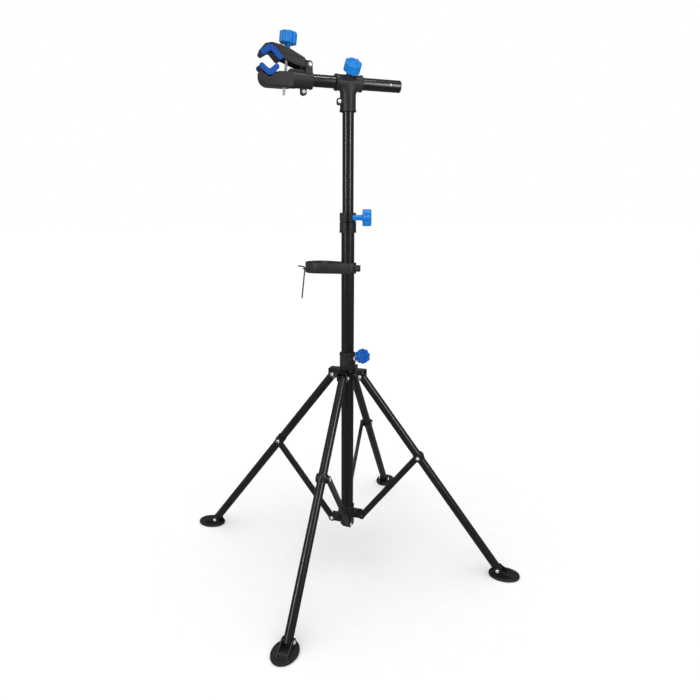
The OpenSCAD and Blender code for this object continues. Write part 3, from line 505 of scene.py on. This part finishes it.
def corners(points, steps=10):
    """An outline through corner points (a, b, radius): each corner becomes an arc of its radius.

    The arc's centre lies on the corner's bisector, radius / sin(half the corner) away.
    """
    places = np.array([point[:2] for point in points], float)
    path = []
    for index, point in enumerate(points):
        here = places[index]
        before = places[index - 1] - here
        after = places[(index + 1) % len(places)] - here
        before, after = before / np.linalg.norm(before), after / np.linalg.norm(after)
        radius = point[2] if len(point) > 2 else 0
        bisector = before + after
        if radius == 0 or np.linalg.norm(bisector) < 1e-6:
            path.append(here[None, :])
            continue
        half = np.arccos(np.clip(before @ after, -1, 1)) / 2
        bisector = bisector / np.linalg.norm(bisector)
        centre = here + bisector * radius / sin(half)
        start = here + before * radius / tan(half) - centre
        stop = here + after * radius / tan(half) - centre
        sweep = np.arctan2(start[0] * stop[1] - start[1] * stop[0], start @ stop)
        turn = sweep * np.linspace(0, 1, steps)[:, None]
        side = np.array([-start[1], start[0]])
        path.append(centre + start * np.cos(turn) + side * np.sin(turn))
    return np.concatenate(path)


def slab(outline, low, high, edge, steps=4):
    """A plate of that outline in x and z, from low to high along y, with rounded edges.

    Each rounding ring is the outline moved in along its own normals by edge (1 - sin t),
    at a depth of edge (1 - cos t).
    """
    following = np.roll(outline, -1, 0)
    if np.sum(outline[:, 0] * following[:, 1] - following[:, 0] * outline[:, 1]) < 0:
        outline = outline[::-1]
    ahead = np.roll(outline, -1, 0) - outline
    ahead = ahead / np.maximum(np.linalg.norm(ahead, axis=1, keepdims=True), 1e-9)
    behind = np.roll(ahead, 1, 0)
    normal = np.stack([ahead[:, 1] + behind[:, 1], -ahead[:, 0] - behind[:, 0]], -1)
    normal = normal / np.maximum(np.linalg.norm(normal, axis=1, keepdims=True), 1e-9)
    turn = np.linspace(0, pi / 2, steps + 1)
    inset = np.concatenate([edge * (1 - np.sin(turn)), edge * (1 - np.sin(turn[::-1]))])
    depth = np.concatenate([low + edge * (1 - np.cos(turn)), high - edge * (1 - np.cos(turn[::-1]))])
    flat = outline[None] - normal[None] * inset[:, None, None]
    y = np.broadcast_to(depth[:, None], flat.shape[:2])
    return skin(np.stack([flat[..., 0], y, flat[..., 1]], -1))


sole = [(31.0, 0.6), (15.0, 0.6), (14.0, 1.4), (12.0, 1.4), (11.0, 0.0), (4.0, 0.0)]
rim = [(1.6, 0.0), (0.5, 0.5), (0.0, 1.6), (0.0, 5.2), (0.3, 6.5), (1.1, 7.1), (2.0, 7.0),
       (2.8, 6.2), (3.2, 5.0)]
top = [(4.4, 4.5), (9.0, 4.4), (10.0, 4.9), (12.0, 4.9), (13.0, 4.4), (20.0, 4.4), (31.0, 4.4)]
body = oval(46, 35, 20, sole + rim + top)
cheek = corners([(-22, 3.5, 2), (-9.5, 26, 0), (-8, 29, 9), (8, 29, 9), (13, 24, 6), (46, 4.5, 3),
                 (46, 2, 0), (-22, 2, 0)])
cheek_t = 3.2
bridge = corners([(25, 3, 0), (39, 3, 0), (36, 8.5, 2), (28, 10.5, 2)])
for leg in LEGS:
    x, y, z = leg_axes(leg)
    bolt_at = np.array(joints[leg + "_foot_hinge"]["pos_m"])
    ground = bolt_at * (1, 1, 0)
    outer = reach_along(leg + "_foot_bolt", bolt_at, y)[1] - BOLT_HEAD
    shells = [placed(body, ground, x, y, z)]
    for near in (outer - cheek_t, -outer):
        shells.append(placed(slab(cheek, near, near + cheek_t, 0.8), ground, x, y, z))
    shells.append(placed(slab(bridge, 1 - outer, outer - 1, 0.2), ground, x, y, z))
    make(leg + "_foot_made", [leg + "_foot"], plastic_black, shells)
    make(leg + "_foot_bolt_made", [leg + "_foot_bolt"], zinc,
         button_bolt(bolt_at, -y, -outer, outer, BOLT_R))

# ---------------------------------------------------------------- collar
# A moulded collar is fixed on the column's top. Its upper half is split and pinches the mast
# when the blue knob's stud draws the two front bosses together.
screw_at, screw_axis = joints["collar_knob_spin"]["pos_m"], np.array(joints["collar_knob_spin"]["axis"])
front = np.cross(screw_axis, (0, 0, 1))
collar_lo, collar_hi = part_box("mast_collar")
mast_lo, mast_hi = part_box("mast_tube")
mast_r = (mast_hi.x - mast_lo.x) * 500
collar_r = column_r + 4.8
boss_front, boss_half, slit = collar_r + 11, 13.0, 1.5


def keyhole(outer, inner, half, reach_out, gap):
    """Outline of a split ring with two bosses in front of its slit, running round once.

    It goes along one boss, round the outer circle, back along the other boss, through the
    slit and round the bore.
    """
    lean = np.arcsin(half / outer)
    around = np.linspace(lean, 2 * pi - lean, 72)
    inside = np.linspace(2 * pi - np.arcsin(gap / inner), np.arcsin(gap / inner), 56)
    outside = np.stack([outer * np.sin(around), outer * np.cos(around)], -1)
    bore = np.stack([inner * np.sin(inside), inner * np.cos(inside)], -1)
    round_off = min(4.0, (half - gap) / 2)
    right = corners([(gap, reach_out, 0.6), (half, reach_out, round_off), (half, outside[0][1] + 1, 0.8),
                     (half + 1, outside[0][1], 0)])[:-1]
    left = right[::-1] * (-1, 1)
    return np.concatenate([right, outside, left, bore])


across = (screw_axis, (0, 0, 1), front)
upper = keyhole(collar_r, mast_r + 0.1, boss_half, boss_front, slit)
lower = keyhole(collar_r, column_r + 0.05, 6.0, collar_r + 0.6, 1.1)
collar_h = (collar_hi.z - collar_lo.z) * 1000
split = 31.0
shells = [slab(upper, split + 0.8, collar_h, 1.3), slab(lower, 0, split - 0.8, 1.3)]
shells = [placed(shell, (0, 0, collar_lo.z), *across) for shell in shells]
inner_ring = [(split - 2, mast_r + 0.1), (split - 2, collar_r - 2.2), (split + 2, collar_r - 2.2),
              (split + 2, mast_r + 0.1)]
foot_ring = [(0.6, column_r), (0.6, collar_r - 0.2), (1.1, collar_r + 0.9), (4.4, collar_r + 0.9),
             (5, collar_r - 0.2), (5, column_r)]
level = (screw_axis, front, (0, 0, 1))
for rows in (inner_ring, foot_ring):
    shells.append(placed(turned(rows, loop=True, points=96), (0, 0, collar_lo.z), *level))
make("mast_collar_made", ["mast_collar"], charcoal, shells)

blue = finish("blue_knob", (0.0, 0.20, 0.66), (0.0, 0.26, 0.78), 0.34, 0.05, 600.0, 0.00003,
              Specular_IOR_Level=0.3)
low, high = reach_along("collar_knob", screw_at, screw_axis)
make("collar_knob_made", ["collar_knob"], blue,
     [placed(knob(47, 25, 15, low, high), screw_at, *along(screw_axis))])
low, high = reach_along("collar_stud", screw_at, screw_axis)
oxide = finish("black_oxide", (0.055, 0.045, 0.04), (0.1, 0.085, 0.075), 0.36, 0.08, 900.0, 0.00003,
               Metallic=0.7)
make("collar_stud_made", ["collar_stud"], oxide,
     [placed(screw(STUD_R, STUD_PITCH, 0.8 - boss_half, high), screw_at, *along(screw_axis))])

# ---------------------------------------------------------------- mast glide
# A natural plastic glide on the mast's foot keeps it from rattling in the column.
natural = finish("natural_plastic", (0.68, 0.67, 0.62), (0.74, 0.73, 0.69), 0.5, 0.06, 500.0, 0.00005)
softened("mast_glide", natural, 0.0004)

# ---------------------------------------------------------------- tee
# A moulded tee joins mast and arm: a level barrel with flanged ends, webbed into an upright
# one that is split and pinched on the mast by a bolt through two ears.
arm_lo, arm_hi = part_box("arm_tube")
tee_lo, tee_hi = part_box("tee")
arm_z = (arm_lo.z + arm_hi.z) / 2
head = (0, 0, arm_z)
tee_half = tee_hi.x * 1000
barrel_r = 20.8
flange = [(-tee_half, mast_r + 0.8), (-tee_half, 20.6), (-tee_half + 0.4, 21.5), (-tee_half + 1.2, 21.9),
          (-tee_half + 4.8, 21.9), (-tee_half + 5.4, 21.4), (-tee_half + 6.2, barrel_r)]
mirrored = [(-row[0], row[1]) for row in flange[::-1]]
bore = [(tee_half - 0.8, mast_r + 0.05), (-tee_half + 0.8, mast_r + 0.05)]
barrel = turned(flange + mirrored + bore, loop=True, points=112)
drop = (arm_z - tee_lo.z) * 1000


def webbed(levels, points=112):
    """The upright barrel: an oval tube whose width along the arm grows into two webs near the top.

    The width is the barrel's radius plus 12 mm times the square of the way up the webs, and the
    section squares off as it widens.
    """
    levels = np.array(levels, float)
    height, radius = levels[:, :1], levels[:, 1:2]
    rise = np.clip((height + 40) / 36, 0, 1) ** 2
    angle = np.linspace(0, 2 * pi, points, endpoint=False)[None, :]
    power = 1 - 0.25 * rise
    x = (radius + 12 * rise) * np.sign(np.cos(angle)) * np.abs(np.cos(angle)) ** power
    y = (radius - 0.8 * rise) * np.sign(np.sin(angle)) * np.abs(np.sin(angle)) ** (1 - 0.1 * rise)
    return skin(np.stack([x, y, np.broadcast_to(height, x.shape)], -1))


PINCH_R, EAR_GAP, EAR_T = 2.8, 1.5, 5.0
EAR_OUT = EAR_GAP + EAR_T
split_top = -26.0
upright = [(level, 20.9) for level in np.linspace(split_top, -4, 14)]
ring = keyhole(20.9, mast_r + 0.05, 4.0, 21.2, 1.5)
rim = keyhole(22.1, mast_r + 0.05, 4.0, 22.4, 1.5)
back = ((0, 1, 0), (0, 0, 1), (-1, 0, 0))
ear = corners([(-3, -9, 0), (10.5, -9, 4), (10.5, 9, 4), (-3, 9, 0)])
ear_at = (-(barrel_r + 0.5) / 1000, 0, joints["head_turn"]["pos_m"][2] + 0.012)
shells = [placed(barrel, head, (0, 0, -1), (0, 1, 0), (1, 0, 0)),
          placed(webbed(upright), head, *UPRIGHT),
          placed(slab(ring, -drop + 2, split_top + 1, 0.4), head, *back),
          placed(slab(rim, -drop, -drop + 6, 1.0), head, *back)]
for near in (EAR_GAP, -EAR_OUT):
    shells.append(placed(slab(ear, near, near + EAR_T, 1.0), ear_at, (-1, 0, 0), (0, 1, 0), (0, 0, 1)))
tee_knob_axis = np.array(joints["tee_knob_spin"]["axis"])
tee_boss = [(16.2, 4.2), (16.2, 14.0), (20, 13.2), (23, 11.8), (26.8, 11.2), (27.5, 10.4),
            (27.5, 4.2)]
shells.append(placed(turned(tee_boss, loop=True), head, *along(tee_knob_axis)))
make("tee_made", ["tee"], charcoal, shells)
pinch_lo, pinch_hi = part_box("tee_pinch_bolt")
make("tee_pinch_bolt_made", ["tee_pinch_bolt"], zinc,
     button_bolt(np.array((pinch_lo + pinch_hi) / 2), (0, -1, 0), -EAR_OUT, EAR_OUT, PINCH_R))
low, high = reach_along("tee_knob", head, tee_knob_axis)
make("tee_knob_made", ["tee_knob"], blue,
     [placed(knob(47, 25, 15, low, high), head, *along(tee_knob_axis))])
low, high = reach_along("tee_stud", head, tee_knob_axis)
make("tee_stud_made", ["tee_stud"], zinc,
     [placed(screw(STUD_R, STUD_PITCH, low, high), head, *along(tee_knob_axis))])

# ---------------------------------------------------------------- arm end
# A thin moulded cap closes the arm's plain end, and a small bright rivet holds it.
cap_at = (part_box("arm_cap")[1].x - 0.002, 0, arm_z)
cap_rows = [(-16, 0.3), (-16, mast_r - 2.2), (-15, mast_r - 1.6), (0, mast_r - 1.6), (0, mast_r - 0.1),
            (0.5, mast_r), (1.1, mast_r), (1.7, mast_r - 0.5), (2, mast_r - 1.4), (2, mast_r - 4),
            (1.4, mast_r - 5), (1.2, 0.3)]
make("arm_cap_made", ["arm_cap"], plastic_black,
     [placed(turned(cap_rows, points=96), cap_at, (0, 0, -1), (0, 1, 0), (1, 0, 0))])
rivet_lo, rivet_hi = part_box("arm_rivet")
rivet_at = ((rivet_lo.x + rivet_hi.x) / 2, 0, arm_z)
rivet_rows = [(mast_r - 0.5, 0.2), (mast_r - 0.5, 3.2), (mast_r + 0.2, 3.2)]
rivet_rows += [(mast_r + 0.2 + 1.7 * sin(t), 3.2 * cos(t) + 0.1) for t in np.linspace(0.2, pi / 2, 6)]
make("arm_rivet_made", ["arm_rivet"], zinc,
     [placed(turned(rivet_rows), rivet_at, *along((0, -1, 0)))])

# ---------------------------------------------------------------- lower jaw
# The lower jaw is one charcoal moulding: a socket on the arm, pinched by a bolt through two
# ears below, a flat rib and two hinge cheeks on top, and a rounded tip that seats the pad.
hinge_at = np.array(joints["jaw_pivot"]["pos_m"])
nut_at = np.array(joints["screw_swing"]["pos_m"])
pad_lo, pad_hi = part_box("lower_pad")
vee_x = (pad_lo.x + pad_hi.x) * 500
socket_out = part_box("lower_jaw")[1].x * 1000
socket_in = -163.0
jaw_half = 22.0
VEE_SIDE = radians(40)


def swung(outline, turn, tip_x, tip_z):
    """An outline turned by that many degrees, from x towards z, and moved to its tip."""
    angle = radians(turn)
    spin = np.array([[cos(angle), sin(angle)], [-sin(angle), cos(angle)]])
    return outline @ spin + (tip_x, tip_z)


def vee(tip_x, tip_z, left, right, turn=0.0):
    """Corner points of a vee seat: out along one side, down to its tip and up the other side."""
    run, rise = cos(VEE_SIDE), sin(VEE_SIDE)
    local = np.array([(-left * run, left * rise), (0, 0), (right * run, right * rise)])
    return swung(local, turn, tip_x, tip_z)


seat = vee(vee_x, 0.6, 17.7, 17.7)
tip = vee_x - 24
jaw_side = corners([(socket_in + 6, 14, 0), (vee_x + 26, 14, 1), (vee_x + 24, 12, 1),
                    (*seat[2], 1), (*seat[1], 2), (*seat[0], 1), (tip + 1, 12, 2.5),
                    (tip - 0.5, -23, 23), (socket_in - 8, -23, 8), (socket_in + 6, -20.5, 0)])
body = slab(jaw_side, -jaw_half, jaw_half, 3.0, 6)
socket = keyhole(21.0, mast_r + 0.05, 3.2, 21.2, 1.5)
lip = keyhole(22.0, mast_r + 0.05, 3.2, 22.2, 1.5)
down = ((0, 1, 0), (1, 0, 0), (0, 0, -1))
rib = corners([(socket_in - 2, 8, 0), (socket_in - 2, 23, 1.5), (socket_out, 23, 1.5),
               (socket_out, 8, 0)])
hinge_x, hinge_z = hinge_at[0] * 1000, (hinge_at[2] - arm_z) * 1000
hinge_cheek = corners([(hinge_x - 12.4, 12, 0), (hinge_x - 12.4, hinge_z + 3, 4),
                       (hinge_x - 7, hinge_z + 10, 5), (hinge_x + 3, hinge_z + 9.5, 4),
                       (hinge_x + 7, hinge_z + 5, 3), (hinge_x + 7, 12, 0)])
hinge_in, hinge_out = 14.5, 19.5
pinch_lo, pinch_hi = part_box("socket_pinch_bolt")
pinch = np.array((pinch_lo + pinch_hi) / 2)
ear = corners([(-8, 14, 0), (-8, -4, 4), (-5, -9, 5), (5, -9, 5), (8, -4, 4), (8, 14, 0)])
shells = [placed(body, head, *UPRIGHT),
          placed(slab(rib, -13.5, 13.5, 1.2), head, *UPRIGHT),
          placed(slab(socket, socket_in, socket_out, 0.8), head, *down),
          placed(slab(lip, socket_out - 5, socket_out, 1.0), head, *down),
          placed(slab(lip, socket_in - 1, socket_in + 14, 1.0), head, *down)]
for near in (hinge_in, -hinge_out):
    shells.append(placed(slab(hinge_cheek, near, near + hinge_out - hinge_in, 1.2), head, *UPRIGHT))
for near in (EAR_GAP, -EAR_OUT):
    shells.append(placed(slab(ear, near, near + EAR_T, 1.0), pinch, *UPRIGHT))
make("lower_jaw_made", ["lower_jaw"], charcoal, shells)
make("socket_pinch_bolt_made", ["socket_pinch_bolt"], zinc,
     button_bolt(pinch, (0, -1, 0), -EAR_OUT, EAR_OUT, PINCH_R))
make("jaw_pivot_bolt_made", ["jaw_pivot_bolt"], zinc,
     button_bolt(hinge_at, (0, -1, 0), -hinge_out, hinge_out, BOLT_R))

# ---------------------------------------------------------------- jaw pads
# Two rubber pads sit in the vees of the jaws. Each is a dark chevron with round lips between
# two blue flanges, which cover the jaw's edges on both faces and have a raised border.
rubber = finish("blue_pad", (0.0, 0.075, 0.40), (0.0, 0.10, 0.50), 0.5, 0.08, 1100.0, 0.00006,
                Specular_IOR_Level=0.2)


def chevron(tip_x, tip_z, left, right, thick, turn, soft=2.0, steps=9):
    """Outline of a bent strip of even thickness with round ends, above a vee from its tip.

    Its middle line runs half a thickness inside the vee, each end is a half circle, and the
    outside of the bend is rounded off over soft millimetres of each side.
    """
    run, rise = cos(VEE_SIDE), sin(VEE_SIDE)
    half = thick / 2
    lift = half / run
    ends = []
    for sign, length in ((-1, left), (1, right)):
        middle = np.array([sign * length * run, lift + length * rise])
        facing = np.arctan2(rise, sign * run)
        sweep = facing + sign * np.linspace(-pi / 2, pi / 2, steps)
        ends.append(middle + half * np.stack([np.cos(sweep), np.sin(sweep)], -1))
    bend = np.linspace(-1, 1, 7)[:, None]
    smooth_out = np.concatenate([bend * run, rise * (bend ** 2 + 1) / 2], 1) * soft
    smooth_in = smooth_out[::-1] * (6 / soft) + (0, 2 * lift)
    local = np.concatenate([smooth_out, ends[1], smooth_in, ends[0][::-1]])
    return swung(local, turn, tip_x, tip_z)


up_vee, up_turn = (-214.0, 75.0), 173.0
pads = {"lower_pad": ((vee_x, 1.0), 24, 24, 0.0), "upper_pad": (up_vee, 31, 24, up_turn)}


def deeper(tip_at, turn, drop):
    """The tip moved by drop millimetres along the vee's middle line, towards its opening."""
    return tip_at[0] - drop * sin(radians(turn)), tip_at[1] + drop * cos(radians(turn))


for name, (tip_at, left, right, turned_by) in pads.items():
    grip = chevron(*tip_at, left, right, 11, turned_by)
    make(name + "_grip", [name], plastic_black,
         [placed(slab(grip, -22.2, 22.2, 1.0, 5), head, *UPRIGHT)])
    cover = chevron(*deeper(tip_at, turned_by, -3.6), left + 1, right + 1, 14, turned_by, 13)
    border = chevron(*deeper(tip_at, turned_by, -1.6), left + 1, right + 1, 10.6, turned_by, 10)
    shells = []
    for side in (-1, 1):
        low, high = sorted((side * 22.1, side * 24.0))
        shells.append(placed(slab(cover, low, high, 0.8), head, *UPRIGHT))
        low, high = sorted((side * 23.5, side * 24.6))
        shells.append(placed(slab(border, low, high, 0.5), head, *UPRIGHT))
    make(name + "_made", [name], rubber, shells)

# ---------------------------------------------------------------- upper jaw
# The upper jaw is a curved charcoal arm, hollow below: two side walls and a back that taper
# to the hinge, and a hooked tip round the upper pad.
up = vee(*up_vee, 33, 27, up_turn)
jaw_end = hinge_x - 13
top_edge = [(jaw_end, hinge_z + 14.5, 1.5), (-163, 68, 30), (-187, 76, 20), (-212, 80.5, 14),
            (-229, 76.5, 14), (-239, 66, 7), (-241.5, 57, 2)]
seat_edge = [(*up[2], 1), (*up[1], 3), (*up[0], 2)]
under_edge = [(-189, 43, 2), (-181, 42, 5), (-152, 31, 30), (jaw_end, hinge_z - 9.5, 2)]
hollow_edge = [(-189, 45, 2), (-182, 53, 3), (-152, 47, 3), (jaw_end, hinge_z + 11, 2)]
wall_outline = corners(top_edge + seat_edge + under_edge)
roof_outline = corners(top_edge + seat_edge + hollow_edge)


def channel(full, hollowed, half, wall, edge, steps=5):
    """A moulded channel: two side walls of the full outline, and between them the hollowed one.

    The two outlines have as many points, so the rings in y simply change from one to the
    other at the inside of each wall.
    """
    rings = slab(full, -half, half, edge, steps)[0].reshape(-1, len(full), 3)
    middle = len(rings) // 2
    if np.allclose(rings[middle, 0, ::2], full[0], atol=edge * 2):
        inside = hollowed
    else:
        inside = hollowed[::-1]
        full = full[::-1]
    stack = []
    for outline, y in ((full, wall - half), (inside, wall - half + 0.2), (inside, half - wall - 0.2),
                       (full, half - wall)):
        stack.append(np.stack([outline[:, 0], np.full(len(outline), y), outline[:, 1]], -1))
    return skin(np.concatenate([rings[:middle], np.array(stack), rings[middle:]]))


tongue = corners([(jaw_end - 7, hinge_z + 14, 0), (hinge_x + 1, hinge_z + 9.8, 7),
                  (hinge_x + 9.8, hinge_z + 2, 7), (hinge_x + 2, hinge_z - 9.8, 7),
                  (jaw_end - 7, hinge_z - 5, 0)])
make("upper_jaw_made", ["upper_jaw"], charcoal,
     [placed(channel(wall_outline, roof_outline, jaw_half, 4.0, 2.4), head, *UPRIGHT),
      placed(slab(tongue, -14.1, 14.1, 1.0), head, *UPRIGHT)])

# ---------------------------------------------------------------- clamp screw
# A zinc screw runs through the upper jaw into a brass barrel nut in the lower one. A rocking
# washer takes its push, and a blue knob turns it.
brass = finish("brass_nut", (0.55, 0.40, 0.16), (0.68, 0.52, 0.24), 0.3, 0.06, 1200.0, 0.00002,
               Metallic=1.0)
screw_z = np.array(joints["jaw_knob_spin"]["axis"])
low, high = reach_along("jaw_screw", nut_at, screw_z)
make("jaw_screw_made", ["jaw_screw"], zinc,
     [placed(screw(4.0, 1.5, low, high), nut_at, *along(screw_z))])
softened("jaw_nut", brass, 0.0006)
softened("jaw_saddle", zinc, 0.0004)
low, high = reach_along("jaw_knob", nut_at, screw_z)
make("jaw_knob_made", ["jaw_knob"], blue,
     [placed(knob(46, 28, 14, low, high), nut_at, *along(screw_z))])

# ---------------------------------------------------------------- tray
# A moulded tray clips round the column: a deep rounded dish with a divider, a beaded rim, an
# ear clamp behind, and a flat tab in front with an eye for a hex key.
softened("tray", charcoal, 0.0007)
screw_lo, screw_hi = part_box("tray_screw")
tray_axis = np.array(joints["hex_key_lift"]["axis"]) * (1, 1, 0)
tray_out = -tray_axis / np.linalg.norm(tray_axis)
make("tray_screw_made", ["tray_screw"], oxide,
     button_bolt(np.array((screw_lo + screw_hi) / 2), np.cross((0, 0, 1), tray_out), -EAR_OUT,
                 EAR_OUT, PINCH_R))

# ---------------------------------------------------------------- hex key
# A bent hexagon bar in black oxide hangs by its short arm in the tray's eye.
key_up = np.array(joints["hex_key_lift"]["axis"])
key_out = np.cross(np.cross(key_up, tray_out), key_up)
key_out = key_out / np.linalg.norm(key_out)
key_side = np.cross(key_up, key_out)
key_lo, key_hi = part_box("hex_key")


def bar(path, outward, across_flats, points=6):
    """A bar of hexagon section carried along a path in one plane.

    At each point the section stands across the path: one axis is the plane's normal, the other
    the normal crossed with the way ahead.
    """
    path = np.array(path, float)
    ahead = np.gradient(path, axis=0)
    ahead = ahead / np.linalg.norm(ahead, axis=1, keepdims=True)
    beside = np.cross(outward, ahead)
    angle = np.linspace(0, 2 * pi, points, endpoint=False)
    r = across_flats / (2 * cos(pi / 6))
    level, lift = np.cos(angle)[None, :, None], np.sin(angle)[None, :, None]
    return skin(path[:, None] + (level * beside[:, None] + lift * np.array(outward)) * r)


bend = np.linspace(0, pi / 2, 10)
long_arm, short_arm, bend_r, key_r = 96.0, 22.0, 6.0, 2.25
key_path = [(0, 0, -long_arm), (0, 0, -long_arm + 1), (0, 0, -bend_r - 1)]
key_path += [(bend_r * (1 - cos(t)), 0, -bend_r * (1 - sin(t))) for t in bend]
key_path += [(bend_r + 1, 0, 0), (short_arm - 1, 0, 0), (short_arm, 0, 0)]
top = reach_along("hex_key", (0, 0, 0), key_up)[1]
out = reach_along("hex_key", (0, 0, 0), key_out)[1]
corner = key_up * (top - key_r) / 1000 + key_out * (out - short_arm) / 1000
corner = corner + key_side * (np.array((key_lo + key_hi) / 2) @ key_side)
make("hex_key_made", ["hex_key"], oxide,
     [placed(bar(key_path, (0, 1, 0), 4.0), corner, key_out, key_side, key_up)], 0.0002)
